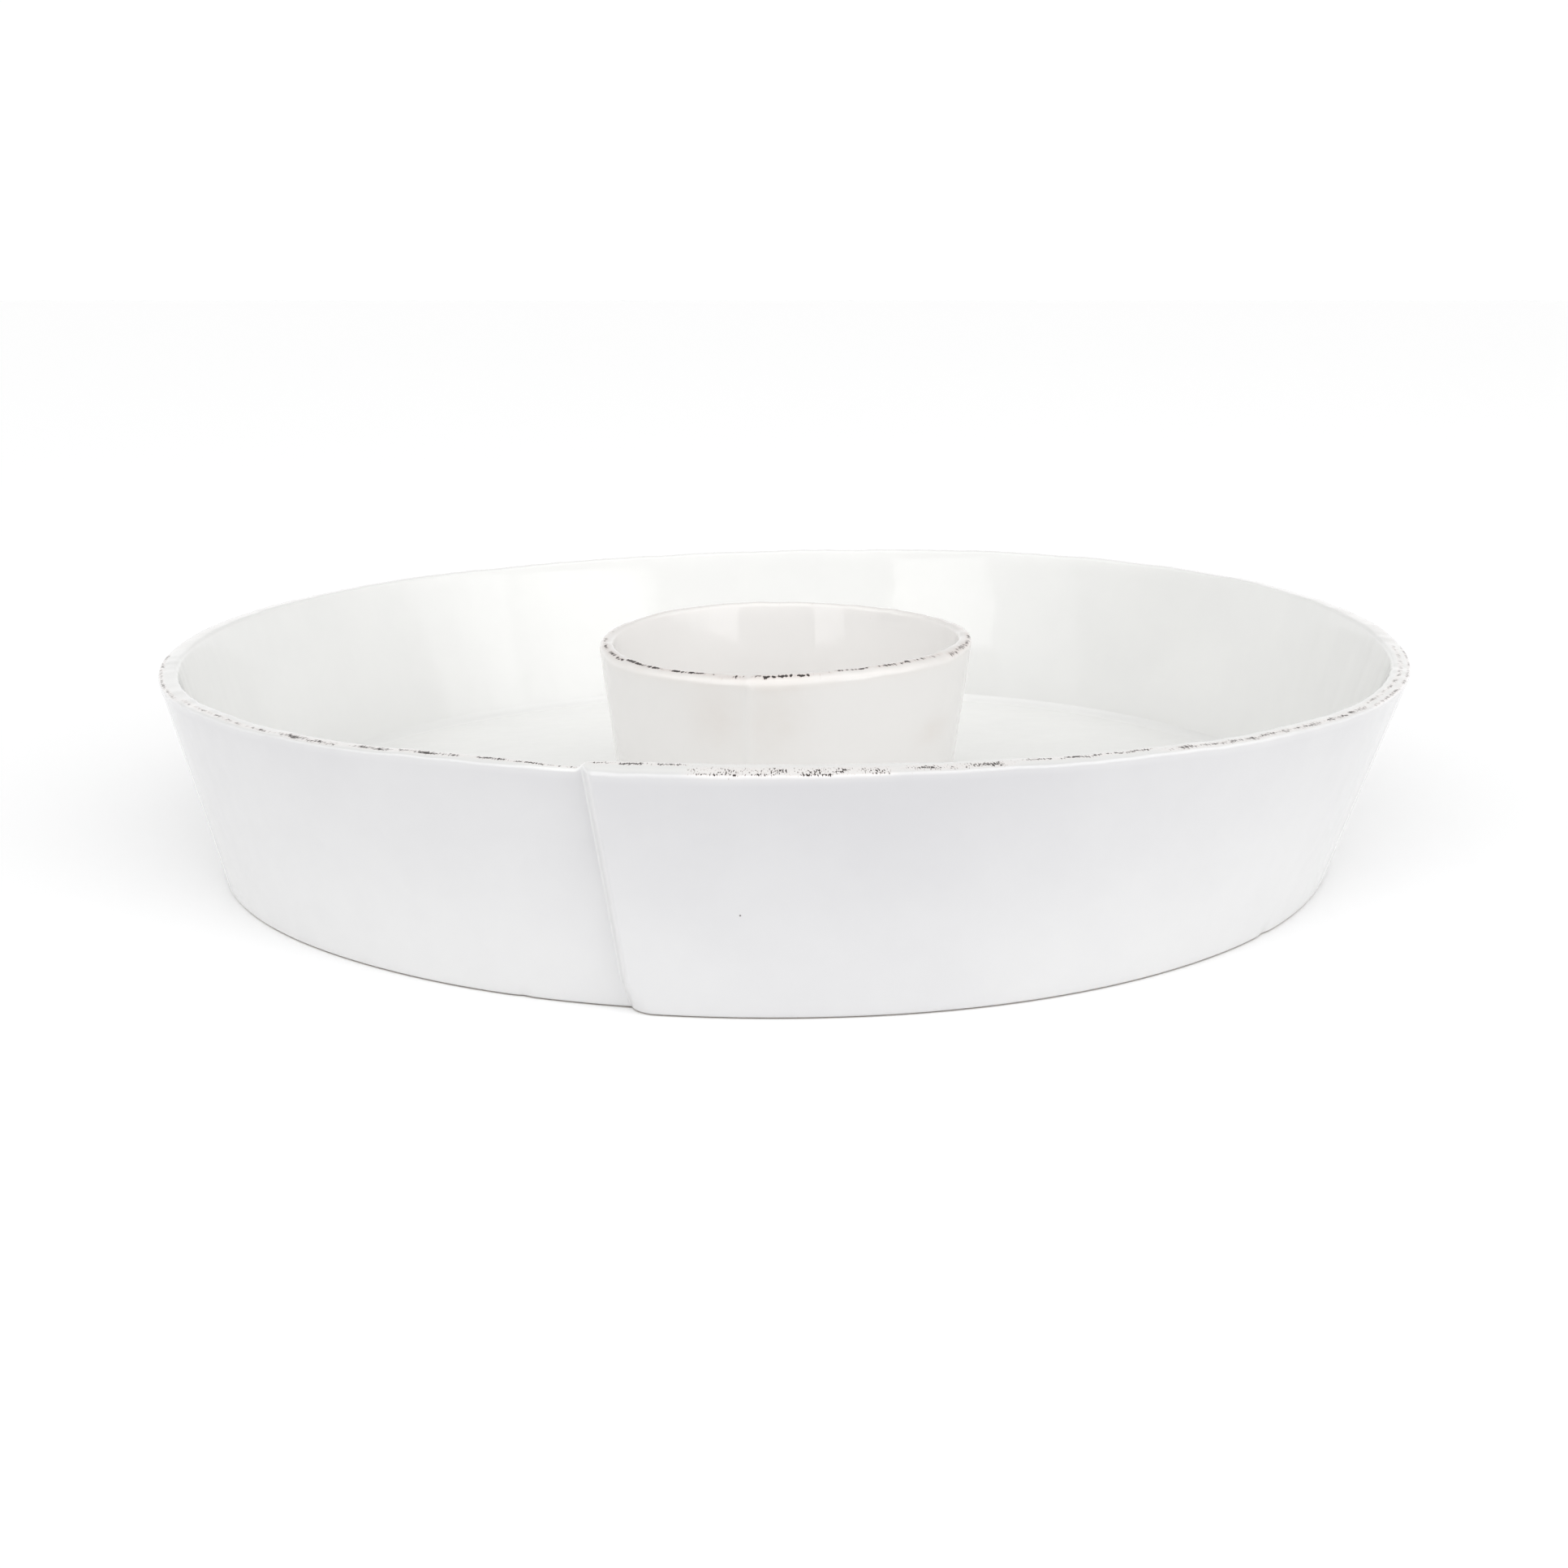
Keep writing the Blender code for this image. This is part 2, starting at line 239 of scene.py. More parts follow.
def waver(angle, waves):
    return sum(size * math.cos(count * math.radians(angle - crest)) for count, size, crest in waves)


def bump(distance, width):
    """A soft hill of height 1 that falls to about a third at the distance `width`."""
    return math.exp(-((distance / width) ** 2))


def turn_between(angle, other):
    """Degrees from one angle around the server to another, -180 to 180."""
    return (angle - other + 180.0) % 360.0 - 180.0


def back_share(angle):
    """0 over the front of the server and 1 over its back."""
    return smooth_step((abs(turn_between(angle, 0.0)) - BACK_STARTS_DEG) / BACK_BLEND_DEG)


def arc_window(angle, start, end, fade=1.5):
    """1 between two angles and 0 outside them, with soft ends."""
    middle, half = (start + end) / 2.0, (end - start) / 2.0
    return 1.0 - smooth_step((abs(turn_between(angle, middle)) - half + fade) / (2.0 * fade))


class Wall:
    """A slab rolled up into a flared ring, as fired. Heights count from its own underside."""

    def __init__(self, rim_radius, foot_radius, height, thickness, stands_at):
        self.rim_radius = rim_radius
        self.foot_radius = foot_radius
        self.height = height
        self.stands_at = stands_at
        self.lean = math.atan((rim_radius - foot_radius) / height)
        self.thickness = thickness / math.cos(self.lean)
        self.rim_waver = self.foot_waver = self.rim_rise = ()
        self.rim_jump = 0.0
        self.lap_ridge = self.seam_ridge = self.seam_crest = 0.0
        self.corner_spread = 0.0
        self.foot_rounding = 0.8 * MM
        self.rim_drop = self.far_rim_drop = self.seam_rim_drop = 0.0
        self.rim_grain = 0.2 * MM
        self.rim_hills = ()
        self.far_inner_rounding = None
        self.back_thinning = self.rim_blush = 0.0
        self.worn_arcs = self.blush = self.foot_nicks = ()

    def set_seam(self, rim_angle, foot_angle, lap_out, lap_in, step_run):
        self.seam_rim, self.seam_foot = rim_angle, foot_angle
        self.lap_out, self.lap_in = lap_out, lap_in
        self.step_run = step_run

    def set_roundings(self, left, right, far, inner):
        """Outer rounding just left of the seam, just right of it and far from it, and the inner."""
        self.rounding_left, self.rounding_right, self.rounding_far = left, right, far
        self.inner_rounding = inner

    def seam_angle(self, up):
        return self.seam_foot + (self.seam_rim - self.seam_foot) * up

    def round_radius(self, angle, up):
        """Outer radius without the seam, at a share of the height."""
        foot = self.foot_radius + waver(angle, self.foot_waver)
        rim = self.rim_radius + waver(angle, self.rim_waver)
        nick = sum(bump(turn_between(angle, place), half) for place, half in self.foot_nicks)
        return foot + (rim - foot) * up - FOOT_NICK_DEPTH * nick * bump(up, FOOT_NICK_SHARE)

    def lap_share(self, distance_deg):
        """How much of the lap's offset is left at this distance from the seam."""
        return 1.0 - smooth_step((distance_deg - LAP_PLATEAU_DEG) / LAP_BLEND_DEG)

    def outer_offset(self, along):
        return self.lap_out * self.lap_share(along) - self.lap_in * self.lap_share(360.0 - along)

    def inner_offset(self, along):
        """The slab's end left of the seam lies inside the round, and the lap thickens the wall."""
        left = 360.0 - along
        inward = self.lap_in * self.lap_share(left)
        inward *= smooth_step((left - LAP_END_STARTS_DEG) / LAP_END_BLEND_DEG)
        ridge = self.lap_ridge * smooth_step(along / LAP_RIDGE_RISE_DEG)
        ridge *= bump(max(along - LAP_RIDGE_CREST_DEG, 0.0), LAP_RIDGE_FALL_DEG)
        thinner = self.back_thinning * back_share(self.seam_rim + along)
        return thinner - self.thickness - inward - ridge

    def seam_swell(self, along, up):
        """A soft upright ridge on the seam, and the wall drawn out to a blunt corner under it."""
        past = turn_between(along, 0.0)
        ridge = self.seam_ridge * bump(math.radians(past) * self.rim_radius, SEAM_RIDGE_WIDTH)
        return ridge + self.seam_crest * max(0.0, 1.0 - abs(past) / SEAM_CREST_DEG) ** 1.5 * up

    def climb(self, distance, up):
        """Share of the seam's step climbed at this distance from its crease.

        The step is a bevel, which starts later and is rounder at the foot.
        """
        low = 1.0 - smooth_step(up * self.height / SEAM_FOOT_HEIGHT)
        run = self.step_run * (1.0 + self.corner_spread * low)
        share = min(max(distance - 0.5 * self.step_run * low, 0.0) / run, 1.0)
        start = (1.0 + BEVEL_START) * share / (share + BEVEL_START)
        bevel = 1.0 - (1.0 - share) ** (BEVEL_POWER + BEVEL_POWER_AT_FOOT * low)
        return start * bevel ** (1.0 - 0.5 * low)

    def rim_climb(self, along):
        """Share of the step climbed by the rim's height, from left of the seam to right of it."""
        distance = math.radians(turn_between(along, 0.0)) * self.rim_radius
        return smooth_step((distance / self.step_run + RIM_STEP_BEFORE) / RIM_STEP_SPAN)

    def rim_height(self, angle, along):
        turn = math.radians(angle)
        place = Vector((math.sin(turn), math.cos(turn), 0.0)) * self.rim_radius
        grain = sum(weight * noise.noise(place / size) for size, weight in RIM_GRAIN)
        jump = self.rim_jump * (0.5 - along / 360.0)
        hill = sum(rise * bump(turn_between(angle, crest), width)
                   for crest, width, rise in self.rim_hills)
        return self.height + waver(angle, self.rim_rise) + jump + hill + self.rim_grain * grain

    def outer_rounding(self, along):
        near = bump(min(along, 360.0 - along), ROUNDING_SPREAD_DEG)
        side = self.rounding_right if along < 180.0 else self.rounding_left
        return self.rounding_far + (side - self.rounding_far) * near

    def inner_rounding_at(self, angle):
        """The rim's inner rounding, which can be larger round the back."""
        if self.far_inner_rounding is None:
            return self.inner_rounding
        further = self.far_inner_rounding - self.inner_rounding
        return self.inner_rounding + further * back_share(angle)

    def section(self, along):
        """Closed outline of the wall at one column, and the height of its rim.

        Each point is (share across from the inner face, inset, height, place). The place is 0 at
        the rim's inner edge and 1 under its rounded outer edge, and goes on down both faces, 3 mm
        to the unit. The rim's outer edge is a little lower than its inner edge.
        """
        distance = math.radians(along) * self.rim_radius
        angle = self.seam_rim + along
        climbed = self.climb(distance, 1.0)
        left = self.outer_offset(360.0)
        width = left + (self.outer_offset(along) - left) * climbed - self.inner_offset(along)
        if along < 180.0:
            low_top = self.rim_height(angle, 360.0)
            high_top = self.rim_height(angle, along)
        else:
            low_top = self.rim_height(angle, along)
            high_top = self.rim_height(angle, 0.0)
        top = low_top + (high_top - low_top) * self.rim_climb(along)
        outer_round = self.rounding_left
        outer_round += (self.outer_rounding(along) - self.rounding_left) * climbed
        inner_round, foot_round = self.inner_rounding_at(angle), self.foot_rounding
        rim_drop = self.rim_drop + (self.far_rim_drop - self.rim_drop) * back_share(angle)
        past_seam = smooth_step((along - SEAM_DROP_STARTS_DEG) / SEAM_DROP_BLEND_DEG)
        rim_drop += self.seam_rim_drop * (1.0 - past_seam) * climbed
        outer_top = top - rim_drop
        flat = width - inner_round - outer_round
        band = flat + outer_round * math.pi / 2.0
        quarter = [math.radians(90.0 * step / QUARTER_STEPS) for step in range(QUARTER_STEPS + 1)]
        down_face = 3.0 * MM

        outline = []
        for turn in reversed(quarter):
            inset = foot_round * (1.0 - math.cos(turn))
            height = foot_round * (1.0 - math.sin(turn))
            outline.append((1.0, inset, height, 1.0 + outer_top / down_face))
        low, high = foot_round, outer_top - outer_round
        for row in range(1, OUTER_ROWS):
            height = low + (high - low) * smooth_step_half(row / OUTER_ROWS)
            outline.append((1.0, 0.0, height, 1.0 + (high - height) / down_face))
        for turn in quarter:
            inset = outer_round * (1.0 - math.cos(turn))
            drop = outer_round * (1.0 - math.sin(turn))
            height = outer_top - drop + rim_drop * inset / width
            outline.append((1.0, inset, height, 1.0 - outer_round * turn / band))
        for step in range(1, RIM_STEPS):
            share = 1.0 - step / RIM_STEPS
            inset = outer_round * share - inner_round * (1.0 - share)
            crown = RIM_CROWN * flat * 4.0 * share * (1.0 - share)
            across = (inner_round + flat * share) / width
            outline.append((share, inset, top + crown - rim_drop * across, share * flat / band))
        for turn in reversed(quarter):
            back = inner_round * (math.pi / 2.0 - turn)
            inset = inner_round * (1.0 - math.cos(turn))
            drop = inner_round * (1.0 - math.sin(turn))
            height = top - drop - rim_drop * inset / width
            outline.append((0.0, -inset, height, -back / down_face))
        for row in range(1, INNER_ROWS):
            height = (top - inner_round) * (1.0 - row / INNER_ROWS)
            outline.append((0.0, 0.0, height, -(top - height) / down_face))
        outline.append((0.0, 0.0, 0.0, -top / down_face))
        outline.append((0.5, 0.0, 0.0, -top / down_face))
        return outline, top

    def column(self, along):
        """World places of the outline at one column, and its shades."""
        distance = math.radians(along) * self.rim_radius
        outline, top = self.section(along)
        left = self.outer_offset(360.0)
        inner = self.inner_offset(along)
        places, shades = [], []
        for share, inset, height, rim_place in outline:
            up = height / top
            angle = self.seam_angle(up) + along
            outer = left + (self.outer_offset(along) - left) * self.climb(distance, up)
            outer += self.seam_swell(along, up)
            radius = self.round_radius(angle, up) + inner + (outer - inner) * share - inset
            turn = math.radians(angle)
            x, y = radius * math.sin(turn), -radius * math.cos(turn)
            places.append((x, y, self.stands_at + height))
            bare = 1.0 if height < WALL_BARE_HEIGHT else 0.0
            # painted light: the seam and its crease take more of the deep tone
            seam_light = self.seam_painted_light(along)
            painted_light_share = max(self.painted_light_share(angle, rim_place, up), seam_light)
            blush = self.blushed(angle, up) * (1.0 - BLUSH_UNDER_SEAM * seam_light)
            blush += self.rim_blush * bump(rim_place - RIM_BLUSH_PLACE, RIM_BLUSH_SPREAD)
            shades.append((self.worn(angle, rim_place), blush, bare, painted_light_share))
        return places, shades

    def painted_light_share(self, angle, rim_place, up):
        """Share of the deep glaze tone, as painted light and shade: 1 on the inside and the rim.

        It is least on the outer face at the front under the rim, more toward the foot and sides.
        """
        outside = smooth_step((rim_place - OUTER_PAINTED_LIGHT_STARTS) / OUTER_PAINTED_LIGHT_BLEND)
        side = 1.0 - bump(turn_between(angle, FRONT_PAINTED_LIGHT_ANGLE), FRONT_PAINTED_LIGHT_WIDTH)
        return 1.0 - outside * (1.0 - FOOT_PAINTED_LIGHT * (1.0 - up) - SIDE_PAINTED_LIGHT * side)

    def seam_painted_light(self, along):
        """Painted light: more deep tone on the seam's step and its crease, or on a plain seam."""
        distance = math.radians(turn_between(along, 0.0)) * self.rim_radius
        if self.lap_out + self.lap_in == 0.0:
            return SEAM_PAINTED_LIGHT * bump(distance, self.step_run)
        if distance < 0.0:
            return CREASE_PAINTED_LIGHT * SEAM_PAINTED_LIGHT * bump(distance, CREASE_LIGHT_WIDTH)
        past = (distance / self.step_run - STEP_LIGHT_STARTS) / STEP_LIGHT_BLEND
        return SEAM_PAINTED_LIGHT * (1.0 - smooth_step(past))

    def worn(self, angle, rim_place):
        """How far the glaze has broken: faintly all along the rim, and more on the worn arcs."""
        share = EVEN_WEAR * bump(rim_place - EVEN_WEAR_PLACE, EVEN_WEAR_SPREAD)
        for start, end, place, spread, strength in self.worn_arcs:
            across = strength * bump(rim_place - place, spread)
            share = max(share, across * arc_window(angle, start, end))
        return share

    def blushed(self, angle, up):
        share = 0.0
        for place, high, half_width, half_height, strength in self.blush:
            around = strength * bump(turn_between(angle, place), half_width)
            share += around * bump(up - high, half_height)
        return share


def smooth_step_half(share):
    """Rows a little closer at both ends."""
    return 0.5 * share + 0.5 * smooth_step(share)


def tray_wall_shape():
    wall = Wall(
        rim_radius=175.0 * MM, foot_radius=159.9 * MM, height=57.7 * MM, thickness=5.2 * MM,
        stands_at=0.0,
    )
    wall.rim_waver, wall.foot_waver, wall.rim_rise = TRAY_RIM_WAVER, TRAY_FOOT_WAVER, TRAY_RIM_RISE
    wall.set_seam(
        rim_angle=-14.9, foot_angle=-13.3, lap_out=1.6 * MM, lap_in=2.6 * MM, step_run=3.3 * MM
    )
    wall.set_roundings(left=0.6 * MM, right=0.9 * MM, far=0.8 * MM, inner=1.0 * MM)
    wall.rim_drop, wall.far_rim_drop, wall.seam_rim_drop = 0.5 * MM, 0.5 * MM, 0.5 * MM
    wall.rim_jump = 1.2 * MM
    wall.rim_hills = TRAY_RIM_HILLS
    wall.lap_ridge = 1.3 * MM
    wall.corner_spread = 1.0
    wall.worn_arcs = TRAY_WORN_ARCS
    wall.foot_nicks = FOOT_NICKS
    return wall


def bowl_wall_shape():
    wall = Wall(
        rim_radius=54.2 * MM, foot_radius=47.4 * MM, height=49.6 * MM, thickness=4.8 * MM,
        stands_at=BOWL_FOOT,
    )
    wall.rim_waver, wall.rim_rise = BOWL_RIM_WAVER, BOWL_RIM_RISE
    wall.set_seam(rim_angle=-10.6, foot_angle=-12.1, lap_out=0.0, lap_in=0.0, step_run=1.5 * MM)
    wall.set_roundings(left=1.6 * MM, right=2.6 * MM, far=1.4 * MM, inner=1.1 * MM)
    wall.rim_drop = 1.2 * MM
    wall.far_inner_rounding = 1.2 * MM
    wall.back_thinning, wall.rim_blush = 1.3 * MM, 0.6
    wall.seam_ridge, wall.seam_crest = 0.35 * MM, 0.9 * MM
    wall.worn_arcs, wall.blush = BOWL_WORN_ARCS, BOWL_BLUSH
    return wall


def column_stations(wall, spacing):
    """Angles along the slab of the wall's columns, close together over the seam."""
    def degrees(distance):
        return math.degrees(distance * MM / wall.rim_radius)

    stations = [degrees(distance) for distance in COLUMNS_PAST_SEAM_MM]
    left = [360.0 - degrees(distance) for distance in COLUMNS_BEFORE_SEAM_MM]
    start, last = stations[-1] + 0.7 * spacing, left[0] - 0.5 * spacing
    count = round((last - start) / spacing)
    return stations + [start + (last - start) * step / count for step in range(count + 1)] + left


def make_wall(name, wall, spacing):
    """The wall as one closed tube, with its glaze map: metres along it, and round its outline."""
    stations = column_stations(wall, spacing)
    columns = [wall.column(along) for along in stations]
    points = np.array([places for places, _ in columns])
    shades = np.array([shade for _, shade in columns])
    count, places, _ = points.shape

    faces = []
    for column in range(count):
        here, there = column * places, (column + 1) % count * places
        for row in range(places):
            up = (row + 1) % places
            faces.append((here + row, there + row, there + up, here + up))
    piece = make_piece(name, points.reshape(-1, 3).tolist(), faces)

    around = np.radians(np.array(stations + [360.0])) * wall.rim_radius
    steps = np.linalg.norm(np.roll(points, -1, axis=1) - points, axis=2)
    down = np.concatenate([np.zeros((count, 1)), np.cumsum(steps, axis=1)], axis=1)
    down = np.concatenate([down, down[:1]], axis=0)
    glaze_map = np.empty((count, places, 4, 2))
    glaze_map[:, :, 0, 0] = glaze_map[:, :, 3, 0] = around[:-1, None]
    glaze_map[:, :, 1, 0] = glaze_map[:, :, 2, 0] = around[1:, None]
    glaze_map[:, :, 0, 1], glaze_map[:, :, 1, 1] = down[:-1, :-1], down[1:, :-1]
    glaze_map[:, :, 3, 1], glaze_map[:, :, 2, 1] = down[:-1, 1:], down[1:, 1:]
    layer = piece.data.uv_layers.new(name="glaze_map")
    layer.data.foreach_set("uv", glaze_map.ravel())

    add_shades(piece, shades.reshape(-1, len(SHADES)))
    hand_finish(piece, wall.stands_at)
    return piece


def make_floor(name, wall, floor_top, fillet, columns):
    """A round slab inside the wall's foot, whose top curls up into the wall."""
    angles = [360.0 * step / columns for step in range(columns)]
    points = np.array([floor_section(wall, floor_top, fillet, angle) for angle in angles])
    count, places, _ = points.shape
    vertices = points.reshape(-1, 3).tolist()
    bottom, top = len(vertices), len(vertices) + 1
    vertices.append((0.0, 0.0, wall.stands_at))
    vertices.append((0.0, 0.0, floor_top))
    faces = []
    for column in range(count):
        here, there = column * places, (column + 1) % count * places
        faces += [(here + row, there + row, there + row + 1, here + row + 1)
                  for row in range(places - 1)]
        faces.append((bottom, there, here))
        faces.append((top, here + places - 1, there + places - 1))
    piece = make_piece(name, vertices, faces)
    bare_top = wall.stands_at + FLOOR_BARE_HEIGHT
    bare = [1.0 if height < bare_top else 0.0 for _, _, height in vertices]
    # the floors' tops take the full deep tone, the painted light and shade of the insides
    add_shades(piece, np.array([(0.0, 0.0, share, 1.0) for share in bare]))
    hand_finish(piece, wall.stands_at)
    return piece


def floor_section(wall, floor_top, fillet, angle):
    """Outline of the floor slab along one radius, from the middle below to the middle above.

    Its edge reaches a little way into the wall, where it can't be seen.
    """
    def inside(height):
        up = (height - wall.stands_at) / wall.height
        along = (angle - wall.seam_angle(up)) % 360.0
        return wall.round_radius(angle, up) + wall.inner_offset(along)

    curl_height = floor_top + fillet
    curl_centre = inside(curl_height) - fillet / math.cos(wall.lean)
    edge = inside(wall.stands_at)
    foot = wall.stands_at
    outline = [(edge * share, foot) for share in FLOOR_RINGS]
    outline += [(edge - FLOOR_EDGE, foot), (edge - FLOOR_EDGE_CLEAR, foot + FLOOR_EDGE)]
    curl = []
    for step in range(CURL_STEPS + 1):
        share = step / CURL_STEPS
        turn = -math.pi / 2.0 + (math.pi / 2.0 - wall.lean) * share
        reach = curl_centre + fillet * math.cos(turn) + CURL_OVERLAP * share ** 2
        curl.append((reach, curl_height + fillet * math.sin(turn)))
    outline += [(edge + FLOOR_HIDDEN, foot + FLOOR_HIDDEN_FROM)]
    outline += [(curl[-1][0] + FLOOR_HIDDEN, curl[-1][1])]
    outline += reversed(curl)
    outline += [(curl_centre * share, floor_top) for share in np.linspace(0.96, 0.04, 16)]
    turn = math.radians(angle)
    return [(reach * math.sin(turn), -reach * math.cos(turn), height) for reach, height in outline]


def make_piece(name, vertices, faces):
    mesh = bpy.data.meshes.new(name)
    mesh.from_pydata(vertices, [], faces)
    mesh.shade_smooth()
    piece = bpy.data.objects.new(name, mesh)
    bpy.context.scene.collection.objects.link(piece)
    return piece


def add_shades(piece, shades):
    for column, name in enumerate(SHADES):
        layer = piece.data.attributes.new(name, "FLOAT", "POINT")
        layer.data.foreach_set("value", np.ascontiguousarray(shades[:, column], dtype=np.float32))


def hand_finish(piece, stands_at):
    """Moves the surface in and out a little, as hand work leaves it. The underside stays flat."""
    mesh = piece.data
    normals = [normal.vector.copy() for normal in mesh.vertex_normals]
    elsewhere = Vector((7.0, 3.0, 5.0))
    for vertex, normal in zip(mesh.vertices, normals):
        place = vertex.co
        broad = HAND_BROAD * noise.noise(place / HAND_BROAD_SIZE)
        fine = HAND_FINE * noise.noise(place / HAND_FINE_SIZE + elsewhere)
        fade = smooth_step((place.z - stands_at - HAND_STARTS) / HAND_BLEND)
        vertex.co = place + normal * ((broad + fine) * fade)


class Shading:
    """Short ways to add shader nodes to a material and to link them."""

    def __init__(self, name):
        self.material = bpy.data.materials.new(name)
        self.material.use_nodes = True
        self.tree = self.material.node_tree
        self.shader = self.tree.nodes["Principled BSDF"]

    def put(self, socket, value):
        if isinstance(value, bpy.types.NodeSocket):
            self.tree.links.new(value, socket)
        else:
            socket.default_value = value

    def add(self, kind, inputs, **settings):
        node = self.tree.nodes.new("ShaderNode" + kind)
        for name, value in settings.items():
            setattr(node, name, value)
        for key, value in inputs.items():
            self.put(node.inputs[key], value)
        return node

    def math(self, operation, first, second=0.0):
        return self.add("Math", {0: first, 1: second}, operation=operation).outputs[0]

    def ramp(self, value, low, high, start=0.0, end=1.0):
        """The value taken smoothly from the range low to high to the range start to end."""
        inputs = {"Value": value, "From Min": low, "From Max": high, "To Min": start, "To Max": end}
        return self.add("MapRange", inputs, interpolation_type="SMOOTHSTEP").outputs["Result"]

    def attribute(self, name):
        return self.add("Attribute", {}, attribute_name=name).outputs["Fac"]

    def noise(self, vector, size, detail=2.0, roughness=0.5):
        """Noise from 0 to 1 whose features measure about `size`."""
        inputs = {"Vector": vector, "Scale": 1.0 / size, "Detail": detail, "Roughness": roughness}
        return self.add("TexNoise", inputs).outputs["Fac"]

    def blend(self, share, first, second):
        """A mix of two colours, each a node's output or (red, green, blue)."""
        first, second = (
            (*colour, 1.0) if isinstance(colour, tuple) else colour for colour in (first, second)
        )
        inputs = {0: share, 6: first, 7: second}
        return self.add("Mix", inputs, data_type="RGBA").outputs[2]

    def object_place(self):
        return self.add("TexCoord", {}).outputs["Object"]


def glaze_body(shading, place, thin_colour_painted_light, deep_colour_painted_light):
    """Glaze colour by its painted light and shade, faintly mottled, with the blush under it."""
    mottle_noise = shading.noise(place, MOTTLE_SIZE, 3.0, 0.6)
    mottle = shading.ramp(mottle_noise, 0.3, 0.7, -MOTTLE_DEPTH, 0.0)
    painted_light_share = shading.math("ADD", shading.attribute("painted_light_share"), mottle)
    body = shading.blend(painted_light_share, thin_colour_painted_light, deep_colour_painted_light)

    grain = shading.ramp(shading.noise(place, BLUSH_GRAIN_SIZE, 2.0, 0.5), 0.3, 0.7, 0.55, 1.0)
    blush = shading.math("MULTIPLY", shading.attribute("blush"), grain)
    return shading.blend(shading.math("MULTIPLY", blush, BLUSH_STRENGTH), body, BLUSH_COLOUR)


def add_wear(shading, base, worn_colour_and_painted_light, fleck_size):
    """The worn rim over a base colour: its tint, and dark flecks with a halo. Gives the flecks too.
    On the tray the tint is lighter than the glaze, as painted light on the rim's top.

    The flecks stand close together in clusters, and are drawn out across the rim.
    """
    worn = shading.attribute("worn")
    glaze_map = shading.add("UVMap", {}, uv_map="glaze_map").outputs["UV"]
    cluster = shading.noise(glaze_map, CLUSTER_SIZE, 3.0, 0.6)
    dense = shading.math("MULTIPLY", worn, shading.ramp(cluster, 0.35, 0.62, 0.60, 1.15))
    inputs = {"Vector": glaze_map, "Scale": (1.0, FLECK_STRETCH, 1.0)}
    stretched = shading.add("Mapping", inputs, vector_type="POINT").outputs["Vector"]
    strokes = shading.noise(stretched, fleck_size, 1.5, 0.55)
    level = shading.math("ADD", strokes, shading.math("MULTIPLY", dense, WEAR_WEIGHT))

    flecks = shading.ramp(level, *FLECK_LEVELS)
    halo = shading.math("MULTIPLY", shading.ramp(level, *HALO_LEVELS), HALO_STRENGTH)
    # worn tint: pinkish, and on the tray lighter than its glaze, as painted light on the rim
    worn_tint_and_light = shading.math("MULTIPLY", shading.ramp(worn, 0.0, 0.8), WORN_TINT_AND_LIGHT)
    base = shading.blend(worn_tint_and_light, base, worn_colour_and_painted_light)
    base = shading.blend(halo, base, HALO_COLOUR)
    return shading.blend(flecks, base, FLECK_COLOUR), flecks


def make_glaze(name, thin_colour_painted_light, deep_colour_painted_light, worn_colour_and_painted_light, fleck_size, pinhole=None):
    """White glaze over stoneware, with dark flecks where it has broken and bare clay underneath."""
    shading = Shading(name)
    place = shading.object_place()
    # the base colour carries the thin and deep tones, which are painted light and shade
    base = glaze_body(shading, place, thin_colour_painted_light, deep_colour_painted_light)
    base, flecks = add_wear(shading, base, worn_colour_and_painted_light, fleck_size)
    if pinhole is not None:
        inputs = {0: place, 1: pinhole}
        away = shading.add("VectorMath", inputs, operation="DISTANCE").outputs["Value"]
        hole = shading.ramp(away, 1.3 * PINHOLE_RADIUS, 0.7 * PINHOLE_RADIUS)
        base = shading.blend(hole, base, PINHOLE_COLOUR)

    clay_grain = shading.noise(place, CLAY_GRAIN_SIZE, 5.0, 0.75)
    clay = shading.blend(shading.ramp(clay_grain, 0.3, 0.7), DARK_CLAY, PALE_CLAY)
    ragged = shading.ramp(clay_grain, 0.3, 0.7, -0.2, 0.2)
    bare = shading.ramp(shading.math("ADD", shading.attribute("bare"), ragged), 0.45, 0.6)
    shading.put(shading.shader.inputs["Base Color"], shading.blend(bare, base, clay))

    gloss_noise = shading.noise(place, GLOSS_SIZE, 3.0, 0.6)
    gloss = shading.ramp(gloss_noise, 0.3, 0.7, *GLAZE_ROUGHNESS)
    gloss = shading.math("ADD", gloss, shading.math("MULTIPLY", flecks, FLECK_ROUGHNESS))
    gloss = shading.math("ADD", gloss, shading.math("MULTIPLY", bare, CLAY_ROUGHNESS))
    shading.put(shading.shader.inputs["Roughness"], gloss)
    shading.shader.inputs["IOR"].default_value = GLAZE_IOR

    peel = shading.math("MULTIPLY", shading.noise(place, PEEL_SIZE, 2.0, 0.5), PEEL_HEIGHT)
    ripple = shading.math("MULTIPLY", shading.noise(place, RIPPLE_SIZE, 1.0, 0.5), RIPPLE_HEIGHT)
    pits = shading.math("MULTIPLY", flecks, -PIT_DEPTH)
    grit = shading.math("MULTIPLY", shading.math("MULTIPLY", clay_grain, bare), GRIT_HEIGHT)
    smooth, rough = shading.math("ADD", peel, ripple), shading.math("ADD", pits, grit)
    inputs = {"Strength": 1.0, "Distance": 1.0, "Height": shading.math("ADD", smooth, rough)}
    relief = shading.add("Bump", inputs)
    shading.put(shading.shader.inputs["Normal"], relief.outputs["Normal"])
    return shading.material


